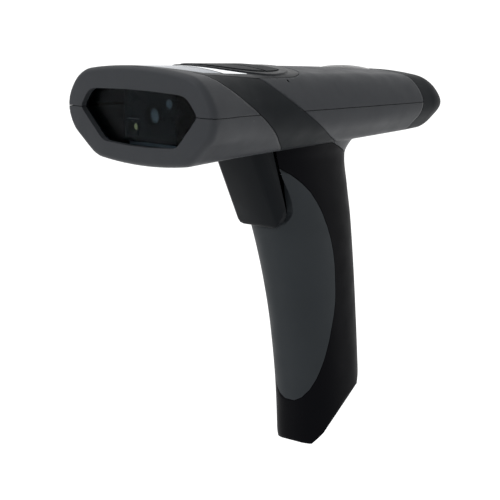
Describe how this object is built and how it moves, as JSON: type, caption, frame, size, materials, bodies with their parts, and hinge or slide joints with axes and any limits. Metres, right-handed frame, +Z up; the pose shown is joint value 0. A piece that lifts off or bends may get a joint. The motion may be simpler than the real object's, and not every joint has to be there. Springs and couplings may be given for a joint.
{
  "type": "handheld barcode scanner",
  "caption": "Cordless pistol-grip barcode scanner with a faceted nose, dark side bands, a keyed top panel, a trigger and a charging foot.",
  "frame": {"origin": "middle of the hand grip, on the plane of symmetry", "axes": "+Z up, -Y towards the nose that faces the code, +X across the scanner"},
  "size_m": [0.0748, 0.1732, 0.1681],
  "materials": {
    "housing": "satin moulded grey",
    "soft_black": "satin soft-touch black",
    "bezel": "satin black",
    "grip": "satin dark grey",
    "handle": "satin black",
    "trigger": "satin black",
    "key": "matt black",
    "diffuser": "white translucent",
    "status_window": "glossy pale grey",
    "smoky_lens": "glossy smoky black",
    "glass": "clear, faintly tinted",
    "inner_black": "matt black",
    "silicone": "grey silicone",
    "board": "green solder mask",
    "chip": "moulded black",
    "phosphor": "yellow phosphor",
    "lens": "coated lens",
    "steel": "plain steel",
    "brass": "gold-plated",
    "cell": "blue sleeve"
  },
  "bodies": {
    "body": {"upper_housing": "housing", "lower_housing": "housing", "tail_screw_left": "steel", "tail_screw_right": "steel", "left_band": "soft_black", "right_band": "soft_black", "tail_bumper": "soft_black", "top_bezel": "bezel", "status_window": "status_window", "light_bar": "diffuser", "front_key_dome": "silicone", "rear_key_dome": "silicone", "key_board": "board", "indicator_lens": "smoky_lens", "window_gasket": "inner_black", "scan_window": "glass", "engine_chassis": "inner_black", "lens_barrel": "inner_black", "lens": "lens", "led_reflector": "bezel", "illumination_led": "phosphor", "aimer_lens": "lens", "sensor_board": "board", "engine_bracket": "steel", "engine_screw_left": "steel", "engine_screw_right": "steel", "engine_ribbon": "phosphor", "main_board": "board", "board_screw_1": "steel", "board_screw_2": "steel", "board_screw_3": "steel", "board_screw_4": "steel", "decoder_chip": "chip", "radio_module": "steel", "beeper": "chip", "battery_connector": "diffuser", "handle_shell": "handle", "front_grip": "grip", "neck_screw_left": "steel", "neck_screw_right": "steel", "battery_cell": "cell", "battery_contact_top": "steel", "battery_contact_bottom": "steel", "charge_board": "board", "trigger_pin": "steel", "trigger_bracket": "steel", "trigger_spring": "steel", "trigger_switch": "chip", "contact_plate": "inner_black", "charge_contact_1": "brass", "charge_contact_2": "brass", "charge_contact_3": "brass", "plate_screw_left": "steel", "plate_screw_right": "steel"},
    "trigger": {"trigger": "trigger"},
    "front_key": {"front_key": "key"},
    "rear_key": {"rear_key": "key"},
    "plunger": {"switch_plunger": "diffuser"}
  },
  "joints": [
    {"name": "trigger_pull", "type": "hinge", "parent": "body", "child": "trigger", "pos_m": [0, -0.046, 0.068], "axis": [1, 0, 0], "range_deg": [0, 4], "stiffness_Nm_per_rad": 0.6, "springref_deg": -5.73},
    {"name": "front_key_press", "type": "slide", "parent": "body", "child": "front_key", "axis": [0, 0, -1], "range_m": [0, 0.0006], "stiffness_N_per_m": 800, "springref_m": -0.0008, "deforming": ["front_key_dome"]},
    {"name": "rear_key_press", "type": "slide", "parent": "body", "child": "rear_key", "axis": [0, 0, -1], "range_m": [0, 0.0006], "stiffness_N_per_m": 800, "springref_m": -0.0008, "deforming": ["rear_key_dome"]},
    {"name": "plunger_press", "type": "slide", "parent": "body", "child": "plunger", "axis": [0, 1, 0], "range_m": [0, 0.0012]}
  ],
  "couplings": [
    {"joint": "plunger_press", "follows": "trigger_pull", "m_per_rad": 0.0165}
  ]
}
